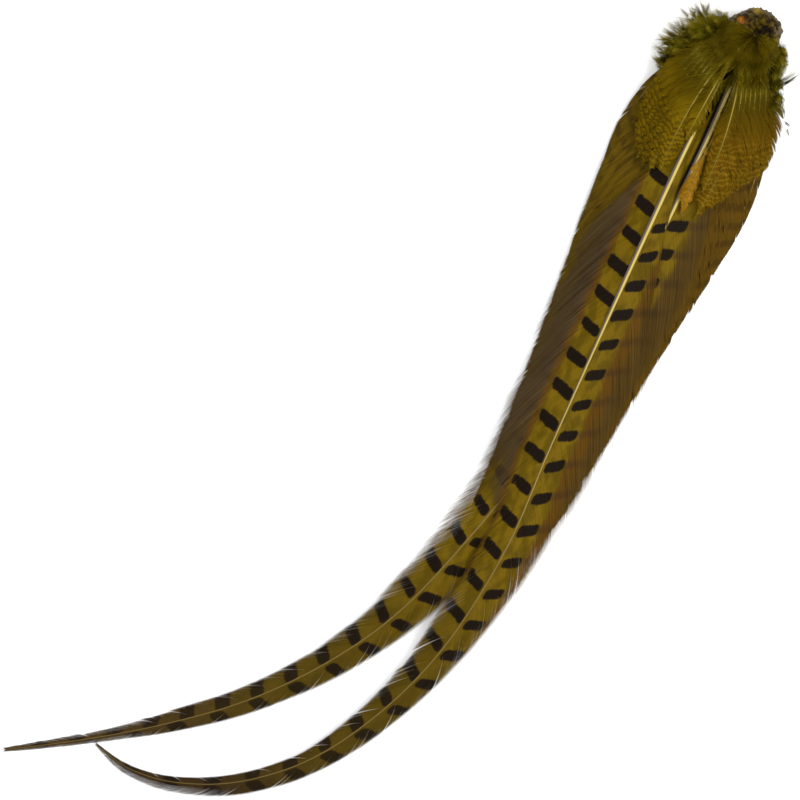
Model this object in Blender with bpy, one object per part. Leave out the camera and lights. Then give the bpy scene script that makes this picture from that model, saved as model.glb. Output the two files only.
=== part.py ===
"""A whole cock pheasant's tail, as it is cut from the bird and dried: a stub of skin and flesh, two long
central feathers that curve away together, eight shorter feathers down each side of them, a fan of tail
coverts over their roots, and down at both sides of the stub.

Metres, +Z up. The tail lies on its underside on z = 0. The origin is the middle of the stub's flat foot, and
+X runs from there towards the tips, along the longest way through the tail.
"""

import math
from collections import namedtuple

import bmesh
import bpy
import numpy as np

MM = 0.001
SHARP = 40  # degrees between faces past which an edge is drawn sharp

# Driving dimensions
STUB_LENGTH = 31 * MM
STUB_WIDTH = 25 * MM
STUB_ABOVE_ROOTS = 2.5 * MM  # how far the stub's top stands over the highest quill
VANE = 0.3 * MM  # thickness of a vane
CENTRAL_VANE = 0.5 * MM  # and of the two long feathers
GAP = 0.3 * MM  # left between pieces that touch
ROOT_GAP = 1.0 * MM  # left between the stub's wall and the middle of a quill's end
SIDE_PAIRS = 8
COVERTS_EACH_SIDE = 7

# The lie of the feathers
LEAST_DROOP = 0.03  # fall of a vane from its shaft, per metre of width
MOST_DROOP = 0.30
CELL = 1 * MM  # of the height map that the feathers are piled on
MAP_LOW = np.array([-40, -60]) * MM
MAP_SHAPE = (560, 220)
STEP = 0.8 * MM  # spacing of the samples that read and write that map

Feather = namedtuple("Feather", "name finish line left right shaft ridge keel vane stations")


# ---------------------------------------------------------------- small helpers

def mix(a, b, share):
    return a + (b - a) * share


def smooth(t):
    """0 to 1 with level ends."""
    t = np.clip(t, 0, 1)
    return t * t * (3 - 2 * t)


def root_at(angle):
    """The point just outside the stub's wall at this angle round it, in degrees from +X."""
    a = math.radians(angle)
    return np.array([
        (STUB_LENGTH / 2 + ROOT_GAP) * math.cos(a),
        (STUB_WIDTH / 2 + ROOT_GAP) * math.sin(a),
    ])


def even_steps(points, count):
    """The same line with this many points, evenly spaced along it."""
    run = np.concatenate([[0], np.cumsum(np.linalg.norm(np.diff(points, axis=0), axis=1))])
    at = np.linspace(0, run[-1], count)
    return np.stack([np.interp(at, run, points[:, k]) for k in (0, 1)], axis=1)


def at_mm(x, y):
    return np.array([x, y]) * MM


def length_of(line):
    return np.linalg.norm(np.diff(line, axis=0), axis=1).sum()


def curve_through(points, count=400):
    """A smooth line through points: cubic pieces whose slope at each point is that of its two neighbours."""
    points = np.array(points, float)
    knots = np.concatenate([[0], np.cumsum(np.linalg.norm(np.diff(points, axis=0), axis=1))])
    slopes = np.gradient(points, knots, axis=0)
    at = np.linspace(0, knots[-1], count)
    i = np.clip(np.searchsorted(knots, at, "right") - 1, 0, len(knots) - 2)
    span = (knots[i + 1] - knots[i])[:, None]
    t = ((at - knots[i])[:, None]) / span
    return (
        (2 * t**3 - 3 * t**2 + 1) * points[i]
        + (t**3 - 2 * t**2 + t) * span * slopes[i]
        + (3 * t**2 - 2 * t**3) * points[i + 1]
        + (t**3 - t**2) * span * slopes[i + 1]
    )


def bow(start, through, tip, count=200):
    """The parabola that runs from start to tip by way of a third point."""
    first, second = np.linalg.norm(through - start), np.linalg.norm(tip - through)
    share = first / (first + second)
    pull = (through - (1 - share) ** 2 * start - share**2 * tip) / (2 * share * (1 - share))
    t = np.linspace(0, 1, count)[:, None]
    return even_steps((1 - t) ** 2 * start + 2 * t * (1 - t) * pull + t**2 * tip, count)


def normals_of(line):
    """Unit vectors to the left of the line, seen from above."""
    along = np.gradient(line, axis=0)
    along /= np.linalg.norm(along, axis=1)[:, None]
    return np.stack([-along[:, 1], along[:, 0]], axis=1)


# ---------------------------------------------------------------- the feathers in plan

def vane_outline(count, width, bare, fullness, taper, shaft):
    """Half-width along a vane: a bare quill, a quick swell, then a long fall to a blunt point."""
    t = np.linspace(0, 1, count)
    u = np.clip((t - bare) / (1 - bare), 0, 1)
    swell = smooth(u / 0.35)
    fall = (1 - u**taper) ** fullness
    return np.maximum(width * swell * fall, shaft + 0.3 * MM)


def widths_along(line, knots, shaft):
    """Half-widths read from (distance from the root, half-width) pairs, both in mm."""
    knots = np.array(knots, float) * MM
    run = np.linspace(0, length_of(line), len(line))
    return np.maximum(np.interp(run, knots[:, 0], knots[:, 1]), shaft + 0.1 * MM)


def tapered(count, root, tip):
    return np.linspace(root, tip, count)


def central_feather(name, root_angle, points, towards_left, towards_right):
    """One of the two long feathers, from the points its shaft passes through and the widths of its vanes
    on the tail's left, which is -Y, and on the tail's right. All in mm."""
    count = 400
    line = curve_through([root_at(root_angle)] + [np.array(p) * MM for p in points], count)
    shaft = tapered(count, 1.3 * MM, 0.3 * MM)
    return Feather(
        name, "tail_vane", line,
        widths_along(line, towards_right, shaft), widths_along(line, towards_left, shaft),
        shaft, tapered(count, 1.0 * MM, 0.15 * MM), tapered(count, 0.6 * MM, 0.1 * MM), CENTRAL_VANE, 30,
    )


def side_feather(side, pair):
    """Feather number pair of one side, counted outwards from the central two, which are pair 1."""
    share = (pair - 2) / (SIDE_PAIRS - 1)  # 0 beside the central feathers, 1 at the tail's edge
    if side == "left":
        root = root_at(mix(-6, -62, share))
        through = mix(at_mm(62, 17), at_mm(47, -16.5), share)
        tip = mix(at_mm(245, 68), at_mm(110, 11.5), share)
        outer, inner = mix(17, 3.5, share) * MM, mix(18, 17, share) * MM
    else:
        root = root_at(mix(34, 78, share))
        through = mix(at_mm(64, 32), at_mm(28, 38), share)
        tip = mix(at_mm(236, 102), at_mm(111, 68), share)
        outer, inner = mix(16, 3.5, share**0.5) * MM, mix(18, 17, share) * MM
    line = bow(root, through, tip)
    count = len(line)
    shaft = tapered(count, 1.0 * MM, 0.3 * MM)
    outer_vane = vane_outline(count, outer, 0.12, 0.8, 2.6, shaft)
    inner_vane = vane_outline(count, inner, 0.12, 0.8, 2.6, shaft)
    # +Y is to the left of a feather that runs along +X, and the tail's left is the -Y side.
    left, right = (inner_vane, outer_vane) if side == "left" else (outer_vane, inner_vane)
    return Feather(
        f"tail_feather_{side}_{pair}", "side_vane", line, left, right,
        shaft, tapered(count, 0.6 * MM, 0.15 * MM), tapered(count, 0.3 * MM, 0.1 * MM), VANE, 14,
    )


def covert(side, number):
    """One of the short feathers over the roots, counted from the tail's edge inwards."""
    share = (number - 1) / (COVERTS_EACH_SIDE - 1)
    if side == "left":
        root = root_at(mix(-60, -6, share))
        through = mix(at_mm(30, -13.5), at_mm(42, 3.5), share)
        tip = mix(at_mm(65, -8), at_mm(74, 15.5), share) + at_mm(32 * share * (1 - share), 0)
        width = mix(7, 8.5, share) * MM
    else:
        root = root_at(mix(84, 36, share))
        through = mix(at_mm(16, 31), at_mm(42, 29), share)
        tip = mix(at_mm(43, 49), at_mm(77, 42), share)
        width = mix(6.5, 9.5, share) * MM
    return soft_feather(f"covert_{side}_{number}", bow(root, through, tip), width)


def soft_feather(name, line, width):
    """A covert along this line, with vanes this wide at the most."""
    count = len(line)
    shaft = tapered(count, 0.5 * MM, 0.2 * MM)
    vane = vane_outline(count, width, 0.08, 0.6, 3.0, shaft)
    return Feather(
        name, "covert_vane", line, vane, vane,
        shaft, tapered(count, 0.3 * MM, 0.1 * MM), tapered(count, 0.2 * MM, 0.1 * MM), VANE, 9,
    )


def inner_coverts():
    """The two innermost coverts. The left one hides the root of the right central quill, and the right one
    lies along the right side of the left central quill."""
    left = bow(root_at(4), at_mm(27, 4), at_mm(56, 13.2))
    right = bow(root_at(31), at_mm(40, 24), at_mm(67, 36))
    return [
        soft_feather(f"covert_left_{COVERTS_EACH_SIDE + 1}", left, 5.5 * MM),
        soft_feather(f"covert_right_{COVERTS_EACH_SIDE + 1}", right, 6 * MM),
    ]


def middle_covert():
    """A worn covert that lies along a central quill, with barbs left only at its end."""
    line = curve_through([root_at(32), at_mm(39, 19), at_mm(58, 25.8), at_mm(69, 30.3), at_mm(81, 36.5)], 200)
    count = len(line)
    shaft = tapered(count, 0.5 * MM, 0.2 * MM)
    vane = vane_outline(count, 3.8 * MM, 0.6, 0.35, 4.0, shaft)
    return Feather(
        "covert_middle", "worn_vane", line, vane, vane,
        shaft, tapered(count, 0.3 * MM, 0.1 * MM), tapered(count, 0.2 * MM, 0.1 * MM), VANE, 10,
    )


def all_feathers():
    """Every feather, in the order in which they lie on each other."""
    made = []
    for pair in range(SIDE_PAIRS + 1, 1, -1):
        made += [side_feather("left", pair), side_feather("right", pair)]
    made.append(central_feather(
        "central_feather_left", 26,
        [(48.5, 20), (89, 35), (155.5, 56.5), (217.5, 72), (258, 77), (310, 78.5),
         (344, 72.5), (380, 60.5), (419, 40), (458, 14), (480, -2.5)],
        towards_left=[(0, 1), (24, 2), (60, 14), (100, 22), (150, 24), (200, 20), (230, 17.5),
                      (246, 16), (274, 13.5), (310, 10), (345, 7.5), (422, 5.4), (450, 3.5),
                      (470, 2.6), (490, 1.8), (496, 1)],
        towards_right=[(0, 1), (24, 2), (60, 16), (100, 24), (150, 24), (200, 18), (254, 14),
                       (306, 10), (378, 6.3), (422, 4.2), (450, 2.6), (470, 2), (490, 1.6), (496, 1)],
    ))
    made.append(central_feather(
        "central_feather_right", 4,
        [(50, 13), (101.5, 33), (156, 55), (202.5, 74), (242.5, 91), (267, 98.5), (301, 105.5),
         (341.5, 106.5), (384.5, 98), (424.5, 72.5), (443, 45), (446.5, 25)],
        towards_left=[(0, 1), (40, 2), (60, 8), (76, 16), (98, 27.4), (110, 28), (150, 28),
                      (178, 26.8), (203, 24.5), (216, 21), (228, 13.5), (242, 12), (290, 12),
                      (304, 10.5), (344, 7.5), (388, 4.4), (436, 3.2), (469, 1.7), (490, 0.6)],
        towards_right=[(0, 1), (34, 2), (60, 3.5), (80, 7), (98, 12), (115, 15.5), (135, 21),
                       (150, 24), (190, 24), (215, 21.5), (236, 16.5), (269, 13.5), (304, 10),
                       (344, 8), (388, 6.6), (436, 5.8), (469, 3.8), (490, 0.6)],
    ))
    made.append(middle_covert())
    for number in range(1, COVERTS_EACH_SIDE + 1):
        made += [covert("left", number), covert("right", number)]
    made += inner_coverts()
    return made


# ---------------------------------------------------------------- piling them up

class Pile:
    """A height map of what has been laid down so far."""

    def __init__(self):
        self.height = np.full(MAP_SHAPE, -GAP)  # so that the lowest pieces stand on z = 0 itself

    def cells(self, points):
        index = np.floor((points - MAP_LOW) / CELL).astype(int)
        return index[..., 0], index[..., 1]

    def add(self, points, heights):
        np.maximum.at(self.height, self.cells(points), heights)

    def under(self, points):
        """The highest of the nine cells round each point."""
        i, j = self.cells(points)
        found = [self.height[i + a, j + b] for a in (-1, 0, 1) for b in (-1, 0, 1)]
        return np.max(found, axis=0)


def upper_hull(x, y):
    """The lowest concave curve over the points, read at each x: a springy shaft bridges the gaps below it."""
    kept = []
    for p in zip(x, y):
        while len(kept) > 1:
            (x0, y0), (x1, y1) = kept[-2:]
            if (x1 - x0) * (p[1] - y0) < (y1 - y0) * (p[0] - x0):
                break
            kept.pop()
        kept.append(p)
    kept = np.array(kept)
    return np.interp(x, kept[:, 0], kept[:, 1])


def over_spans(values, fine, stations, choose):
    """At each station, the extreme (choose) of the fine values in the two spans beside it."""
    out = []
    for k, s in enumerate(stations):
        low, high = stations[max(k - 1, 0)], stations[min(k + 1, len(stations) - 1)]
        near = (fine >= low - 1e-9) & (fine <= high + 1e-9)
        out.append(choose(values[near]))
    return np.array(out)


def lay(feather, pile):
    """Lays a feather on the pile. Returns its sections: for each station the shaft's point, the unit vector to
    the left, both half-widths, the shaft's sizes, and the fall of each vane."""
    run = length_of(feather.line)
    count = max(int(run / STEP), 2)
    fine = np.linspace(0, run, count)
    stations = np.linspace(0, run, feather.stations)
    own = np.linspace(0, run, len(feather.line))
    line = np.stack([np.interp(fine, own, feather.line[:, k]) for k in (0, 1)], axis=1)
    left_of = normals_of(line)
    reading = {
        key: np.interp(fine, own, getattr(feather, key)) for key in ("left", "right", "shaft", "ridge", "keel")
    }
    across = np.linspace(-1, 1, 81)
    offsets = np.where(across >= 0, across * reading["left"][:, None], across * reading["right"][:, None])
    points = line[:, None] + offsets[..., None] * left_of[:, None]
    keel = np.where(np.abs(offsets) < reading["shaft"][:, None] + CELL, reading["keel"][:, None], 0)
    below = feather.vane / 2 + keel + GAP
    under = pile.under(points)

    needed = (under + below + LEAST_DROOP * np.abs(offsets)).max(axis=1)
    bridged = upper_hull(fine, needed)
    height = np.interp(stations, fine, bridged)
    for _ in range(2):
        short = bridged - np.interp(fine, stations, height)
        height = height + np.maximum(over_spans(short, fine, stations, np.max), 0)

    falls = []
    shaft_height = np.interp(fine, stations, height)
    for side in (1, -1):
        wide = (offsets * side > 2 * CELL)
        room = np.where(wide, (shaft_height[:, None] - below - under) / np.maximum(np.abs(offsets), CELL), 9)
        fall = np.clip(over_spans(room.min(axis=1), fine, stations, np.min), LEAST_DROOP, MOST_DROOP)
        for _ in range(2):
            near = np.pad(fall, 1, mode="edge")
            fall = np.minimum(fall, (near[:-2] + near[1:-1] + near[2:]) / 3)
        falls.append(fall)

    fall_fine = [np.interp(fine, stations, f)[:, None] for f in falls]
    drop = np.abs(offsets) * np.where(offsets >= 0, fall_fine[0], fall_fine[1])
    ridge = np.where(np.abs(offsets) < reading["shaft"][:, None] + CELL, reading["ridge"][:, None], 0)
    pile.add(points, shaft_height[:, None] - drop + feather.vane / 2 + ridge)

    at = {key: np.interp(stations, fine, reading[key]) for key in reading}
    return {
        "point": np.stack([np.interp(stations, fine, line[:, k]) for k in (0, 1)], axis=1),
        "left_of": np.stack([np.interp(stations, fine, left_of[:, k]) for k in (0, 1)], axis=1),
        "height": height, "fall_left": falls[0], "fall_right": falls[1], "half": feather.vane / 2, **at,
    }


# ---------------------------------------------------------------- solids

def new_object(name, mesh_in_bmesh, finish):
    bmesh.ops.recalc_face_normals(mesh_in_bmesh, faces=mesh_in_bmesh.faces)
    mesh = bpy.data.meshes.new(name)
    mesh_in_bmesh.to_mesh(mesh)
    mesh_in_bmesh.free()
    mesh.materials.append(finish)
    mesh.shade_smooth()
    mesh.set_sharp_from_angle(angle=math.radians(SHARP))
    obj = bpy.data.objects.new(name, mesh)
    bpy.context.scene.collection.objects.link(obj)
    return obj


def lofted(rings):
    """A closed body from rings with equal numbers of points, capped at both ends. Each wall is cut into two
    triangles, the upper half of a ring one way and the lower half the other way. So the two faces of a thin
    vane are cut along the same line and stay parallel where the vane twists."""
    body = bmesh.new()
    rows = [[body.verts.new(p) for p in ring] for ring in rings]
    for low, high in zip(rows, rows[1:]):
        for k in range(len(low)):
            n = (k + 1) % len(low)
            if k < len(low) // 2:
                body.faces.new((low[k], low[n], high[n]))
                body.faces.new((low[k], high[n], high[k]))
            else:
                body.faces.new((low[k], low[n], high[k]))
                body.faces.new((low[n], high[n], high[k]))
    body.faces.new(rows[0][::-1])
    body.faces.new(rows[-1])
    return body


def section(s, k):
    """The ten corners of a feather's cross-section: a flat vane each side of a raised shaft."""
    half = s["half"]
    shaft, left, right = s["shaft"][k], s["left"][k], s["right"][k]
    fall_left, fall_right = s["fall_left"][k], s["fall_right"][k]
    corners = [
        (-right, -right * fall_right + half),
        (-shaft, -shaft * fall_right + half),
        (0, half + s["ridge"][k]),
        (shaft, -shaft * fall_left + half),
        (left, -left * fall_left + half),
        (left, -left * fall_left - half),
        (shaft, -shaft * fall_left - half),
        (0, -half - s["keel"][k]),
        (-shaft, -shaft * fall_right - half),
        (-right, -right * fall_right - half),
    ]
    point, side = s["point"][k], s["left_of"][k]
    return [(*(point + side * out), s["height"][k] + up) for out, up in corners]


def feather_solid(feather, sections, finishes):
    rings = [section(sections, k) for k in range(feather.stations)]
    return new_object(feather.name, lofted(rings), finishes[feather.finish])


def oval_ring(centre, half_length, half_width, turn, height, count):
    angles = np.linspace(0, 2 * math.pi, count, endpoint=False)
    x, y = half_length * np.cos(angles), half_width * np.sin(angles)
    c, s = math.cos(math.radians(turn)), math.sin(math.radians(turn))
    return [(centre[0] + c * a - s * b, centre[1] + s * a + c * b, height) for a, b in zip(x, y)]


def stub(top, finishes):
    """The dried flesh and skin: upright walls, a flat foot and a domed top."""
    levels = ((0, 0.93), (0.07, 1.0), (0.7, 1.0), (0.88, 0.9), (0.97, 0.68), (1.0, 0.4))
    rings = [
        oval_ring((0, 0), STUB_LENGTH / 2 * size, STUB_WIDTH / 2 * size, 0, top * share, 32)
        for share, size in levels
    ]
    return new_object("rump_stub", lofted(rings), finishes["dried_skin"])


def down_tuft(name, centre, half_length, half_width, turn, top, finishes, pile):
    """The space that a tuft of down fills: a low dome."""
    levels = ((0, 0.8), (0.3, 1.0), (0.6, 0.92), (0.85, 0.68), (1.0, 0.3))
    rings = [
        oval_ring(centre, half_length * size, half_width * size, turn, top * share, 24)
        for share, size in levels
    ]
    for ring, (share, size) in zip(rings, levels):
        inner = [np.array(ring)[:, :2] * k + np.array(centre) * (1 - k) for k in np.linspace(0, 1, 24)]
        pile.add(np.concatenate(inner), np.full(24 * len(ring), top * share))
    return new_object(name, lofted(rings), finishes["down"])


def finish(name, colour, roughness):
    made = bpy.data.materials.new(name)
    made.use_nodes = True
    shader = made.node_tree.nodes["Principled BSDF"]
    shader.inputs["Base Color"].default_value = (*colour, 1)
    shader.inputs["Roughness"].default_value = roughness
    shader.inputs["Metallic"].default_value = 0
    return made


def main():
    for obj in list(bpy.data.objects):
        bpy.data.objects.remove(obj)
    finishes = {
        "tail_vane": finish("tail_vane", (0.16, 0.11, 0.01), 0.6),
        "side_vane": finish("side_vane", (0.10, 0.06, 0.015), 0.65),
        "covert_vane": finish("covert_vane", (0.12, 0.085, 0.008), 0.65),
        "worn_vane": finish("worn_vane", (0.25, 0.12, 0.01), 0.65),
        "dried_skin": finish("dried_skin", (0.05, 0.025, 0.008), 0.5),
        "down": finish("down", (0.15, 0.13, 0.01), 0.9),
    }
    pile = Pile()
    down_tuft("down_left", (0.019, -0.0215), 17 * MM, 6 * MM, -4, 6 * MM, finishes, pile)
    down_tuft("down_right", (-0.003, 0.020), 6.5 * MM, 5.5 * MM, 20, 6 * MM, finishes, pile)
    highest_root = 0
    for feather in all_feathers():
        sections = lay(feather, pile)
        highest_root = max(highest_root, sections["height"][0])
        feather_solid(feather, sections, finishes)
    stub(highest_root + STUB_ABOVE_ROOTS, finishes)


main()
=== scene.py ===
# %% [markdown]
# # A cock pheasant's tail, dyed olive
#
# The real thing is a whole tail as it is cut from the bird: a nub of dried skin that holds two long barred
# feathers, eight shorter feathers down each side, and a fan of soft coverts over the roots. It is dyed olive
# all through, so the pale parts turn yellow green and the dark bars stay nearly black.
#
# A feather could be drawn as one flat sheet with a picture of barbs on it. Here every barb is its own thin
# ribbon, because the look of a feather comes from its barbs: the fine streaks, the ragged edges, and the
# splits where neighbours have come unzipped. The solids give each feather's place, width and height.

import math

import bpy
import numpy as np
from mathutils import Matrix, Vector
from mathutils.bvhtree import BVHTree


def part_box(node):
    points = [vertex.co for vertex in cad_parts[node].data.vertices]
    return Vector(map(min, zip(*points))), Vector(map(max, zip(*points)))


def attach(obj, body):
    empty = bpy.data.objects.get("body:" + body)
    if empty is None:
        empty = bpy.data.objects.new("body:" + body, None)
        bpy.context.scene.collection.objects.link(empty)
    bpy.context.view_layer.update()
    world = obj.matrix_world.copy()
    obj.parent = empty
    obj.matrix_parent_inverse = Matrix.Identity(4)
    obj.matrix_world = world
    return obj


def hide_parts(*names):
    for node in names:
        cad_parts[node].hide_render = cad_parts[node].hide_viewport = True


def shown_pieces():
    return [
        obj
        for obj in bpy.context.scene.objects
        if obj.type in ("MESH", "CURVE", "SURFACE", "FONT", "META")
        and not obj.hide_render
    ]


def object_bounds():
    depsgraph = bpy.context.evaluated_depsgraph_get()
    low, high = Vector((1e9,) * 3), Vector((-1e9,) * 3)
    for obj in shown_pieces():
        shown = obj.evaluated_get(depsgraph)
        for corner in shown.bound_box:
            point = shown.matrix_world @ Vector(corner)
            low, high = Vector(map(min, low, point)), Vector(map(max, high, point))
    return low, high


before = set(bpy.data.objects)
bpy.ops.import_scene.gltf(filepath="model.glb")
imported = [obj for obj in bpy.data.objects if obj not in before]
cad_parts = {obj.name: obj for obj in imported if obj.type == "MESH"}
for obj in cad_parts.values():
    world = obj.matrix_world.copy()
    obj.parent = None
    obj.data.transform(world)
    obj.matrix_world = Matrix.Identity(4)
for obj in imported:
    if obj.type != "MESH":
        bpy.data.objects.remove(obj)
cad_low, cad_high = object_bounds()
MM = 0.001
print("frame:", len(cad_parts), "solids,", [round(1000 * x, 1) for x in cad_high - cad_low], "mm")

# %% [markdown]
# ## Small helpers
#
# Everything below is worked out as whole arrays of numbers. These few functions carry a value smoothly from
# one to another, read a curve between its knots, and give a soft random height for wrinkles.

# %% Helpers for arrays


def mix(a, b, share):
    """The value this share of the way from a to b."""
    return a + (b - a) * share


def smooth(t):
    """0 to 1 with level ends: 3t² - 2t³."""
    t = np.clip(t, 0, 1)
    return t * t * (3 - 2 * t)


def cubic(knots, values, at):
    """A smooth curve through every knot, read at other places. Each piece is the cubic that has, at both its
    ends, the slope found from the knots beside it."""
    slopes = np.gradient(values, knots, axis=0)
    i = np.clip(np.searchsorted(knots, at, "right") - 1, 0, len(knots) - 2)
    wide = (-1,) + (1,) * (values.ndim - 1)
    span = (knots[i + 1] - knots[i]).reshape(wide)
    t = (at - knots[i]).reshape(wide) / span
    return (
        (2 * t**3 - 3 * t**2 + 1) * values[i]
        + (t**3 - 2 * t**2 + t) * span * slopes[i]
        + (3 * t**2 - 2 * t**3) * values[i + 1]
        + (t**3 - t**2) * span * slopes[i + 1]
    )


def rounded(values, reach):
    """The same values with creases rounded off: a weighted mean over this many neighbours on each side."""
    weights = np.hanning(2 * reach + 3)[1:-1]
    return np.convolve(np.pad(values, reach, mode="edge"), weights / weights.sum(), mode="valid")


def soft_noise(x, y, seed):
    """Random heights from -1 to 1 on a grid of whole numbers, with a smooth surface between them."""
    heights = np.random.default_rng(seed).uniform(-1, 1, (64, 64))
    i, j = np.floor(x).astype(int), np.floor(y).astype(int)
    u, v = smooth(x - i), smooth(y - j)
    low = mix(heights[i % 64, j % 64], heights[(i + 1) % 64, j % 64], u)
    high = mix(heights[i % 64, (j + 1) % 64], heights[(i + 1) % 64, (j + 1) % 64], u)
    return mix(low, high, v)


# %% [markdown]
# ## Where each feather lies
#
# Each solid is a row of ten-cornered rings from root to tip, and the rings say all that is needed: where the
# shaft runs, how wide the vane is on each side, and how it falls from the shaft. The rings are found by
# walking outwards over the edges from the ten points nearest the skin. A smooth curve then goes through them.

# %% Reading a feather from its solid
CORNERS = 10
FINE = 0.5 * MM


def with_keel(ring):
    """A solid has no corner where its walls run straight on, so a ring can lack its keel. This puts it back,
    under the ridge and level with the lower corners beside it."""
    if len(ring) == CORNERS:
        return ring
    _, which, counts = np.unique(ring[:, :2].round(5), axis=0, return_inverse=True, return_counts=True)
    ridge = ring[counts[which.ravel()] == 1][0]
    beside = ring[np.argsort(np.linalg.norm(ring[:, :2] - ridge[:2], axis=1))[1:5]]
    return np.vstack([ring, [*ridge[:2], np.sort(beside[:, 2])[:2].mean()]])


def rings_of(node):
    """The rings of ten points of a feather's solid, from root to tip."""
    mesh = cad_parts[node].data
    loose = np.empty(3 * len(mesh.vertices), np.float32)
    mesh.vertices.foreach_get("co", loose)
    corner = np.empty(len(mesh.loops), np.int32)
    mesh.loops.foreach_get("vertex_index", corner)
    points, index = np.unique(np.round(loose.reshape(-1, 3).astype(float), 6), axis=0, return_inverse=True)
    faces = index.ravel()[corner].reshape(-1, 3)
    ways = np.concatenate([faces[:, [a, b]] for a in range(3) for b in range(3) if a != b])
    reached = np.zeros(len(points), bool)
    nearest = points[np.argmin(np.linalg.norm(points[:, :2], axis=1))]
    ring = np.flatnonzero(np.linalg.norm(points - nearest, axis=1) < 4 * MM)
    rings = []
    while len(ring):
        rings.append(with_keel(points[ring]))
        reached[ring] = True
        ring = np.unique(ways[np.isin(ways[:, 0], ring), 1])
        ring = ring[~reached[ring]]
    return np.array(rings)


class Feather:
    """A feather's plan and heights, read from its solid at every half millimetre from root to tip. Side 1 is
    left of the shaft for someone who walks from root to tip, and side -1 is right."""

    def __init__(self, node):
        rings = rings_of(node)
        flat = rings[..., :2]
        middles = flat.mean(axis=1)
        across = np.linalg.svd(flat - middles[:, None], full_matrices=False)[2][:, 0]
        along = np.gradient(middles, axis=0)
        across *= np.sign(along[:, 0] * across[:, 1] - along[:, 1] * across[:, 0])[:, None]
        place = np.einsum("rcx,rx->rc", flat, across)
        order = np.argsort(place, axis=1)
        pairs = np.take_along_axis(rings, order[..., None], axis=1).reshape(-1, 5, 2, 3)
        place = np.sort(place, axis=1).reshape(-1, 5, 2).mean(axis=2)
        centre = pairs[:, 2, :, :2].mean(axis=1)

        knots = np.concatenate([[0], np.cumsum(np.linalg.norm(np.diff(centre, axis=0), axis=1))])
        self.node = node
        self.length = knots[-1]
        self.at = np.linspace(0, self.length, int(self.length / FINE))
        line = cubic(knots, centre, self.at)
        run = np.gradient(line, axis=0)
        run /= np.linalg.norm(run, axis=1)[:, None]
        self.centre, self.sideways = line, np.stack([-run[:, 1], run[:, 0]], axis=1)

        def fine(values, reach=8):
            return rounded(np.interp(self.at, knots, values), reach)

        heights = pairs[..., 2].mean(axis=2)
        self.half = {1: fine(place[:, 4] - place[:, 2], 4), -1: fine(place[:, 2] - place[:, 0], 4)}
        self.inner = {1: fine(heights[:, 3]), -1: fine(heights[:, 1])}
        self.outer = {1: fine(heights[:, 4]), -1: fine(heights[:, 0])}
        self.shaft = fine(place[:, 3] - place[:, 2])
        self.ridge = fine(pairs[:, 2, :, 2].max(axis=1))
        self.keel = fine(pairs[:, 2, :, 2].min(axis=1))

    def read(self, values, s):
        """A value kept for each half millimetre, read at any distance from the root."""
        return np.interp(s, self.at, values)

    def point(self, s, out, side, lift=0.0):
        """The point of the vane at distance s from the root and out from the shaft. Its height goes evenly
        from the vane's inner edge to its outer edge. Past the tip the line runs straight on."""
        over = np.maximum(s - self.length, 0) + np.minimum(s, 0)
        share = out / self.read(self.half[side], s)
        height = mix(self.read(self.inner[side], s), self.read(self.outer[side], s), share)
        x, y = (self.read(self.centre[:, k], s) for k in (0, 1))
        left_x, left_y = (self.read(self.sideways[:, k], s) for k in (0, 1))
        return np.stack([
            x + side * out * left_x + over * left_y,
            y + side * out * left_y - over * left_x,
            height + lift,
        ], axis=-1)

    def thin(self, places, halves):
        """Gives the shaft these half-widths, in mm, at these places, as shares of the length. It stands up no
        higher than it is wide."""
        half = np.minimum(np.interp(self.at / self.length, places, halves) * MM, self.shaft)
        level = (self.inner[1] + self.inner[-1]) / 2
        self.ridge = level + np.minimum(self.ridge - level, 0.9 * half)
        self.keel = level - np.minimum(level - self.keel, 0.6 * half)
        self.shaft = half


feathers = {name: Feather(name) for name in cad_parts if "feather" in name or "covert" in name}
for name, feather in feathers.items():
    if name.startswith("central"):
        feather.thin([0, 0.17, 0.23, 0.3, 0.4, 0.65, 1], [1.25, 1.2, 1.0, 0.7, 0.42, 0.28, 0.1])
    elif name.startswith("tail"):
        feather.thin([0, 0.4, 1], [0.7, 0.35, 0.1])
    else:
        feather.thin([0, 0.4, 0.8, 1], [0.34, 0.24, 0.1, 0.04])
print("feathers:", len(feathers), "from", round(1000 * min(f.length for f in feathers.values())), "to",
      round(1000 * max(f.length for f in feathers.values())), "mm long")

# %% [markdown]
# ## Barbs
#
# A barb leaves the shaft at about 45 degrees and bends towards the tip as it goes out, down to about 20
# degrees at the edge of the vane. Tiny hooks zip it to the next one. Where they let go, a bunch of barbs
# closes up and leaves a slit beside it. So the barbs are first laid out evenly, then each bunch is drawn
# together a little towards its middle, more and more towards the edge.
#
# Hair curves would be quick to draw, but they are lost when the model is exported. Ribbons are real faces.

# %% A vane made of barbs
LEAN = 0.525  # share of a barb's advance that is straight; the rest is its bend
SHORTEST = 0.7 * MM  # a barb that would be shorter than this is left out


def grid_faces(columns, rows, flip=False):
    """Corner numbers of the faces of a grid of points that is stored row by row along its columns."""
    i, j = np.meshgrid(np.arange(columns - 1), np.arange(rows - 1), indexing="ij")
    corner = i * rows + j
    faces = np.stack([corner, corner + rows, corner + rows + 1, corner + 1], axis=-1).reshape(-1, 4)
    return faces[:, ::-1] if flip else faces


def ribbon_faces(count, steps, flip):
    """Faces of many ribbons, each a row of pairs of points."""
    start = (np.arange(count) * (steps + 1) * 2)[:, None] + (np.arange(steps) * 2)[None]
    faces = np.stack([start, start + 1, start + 3, start + 2], axis=-1).reshape(-1, 4)
    return faces[:, ::-1] if flip else faces


def never(s, t):
    """Nowhere unzipped."""
    return 0 * s * t


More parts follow.
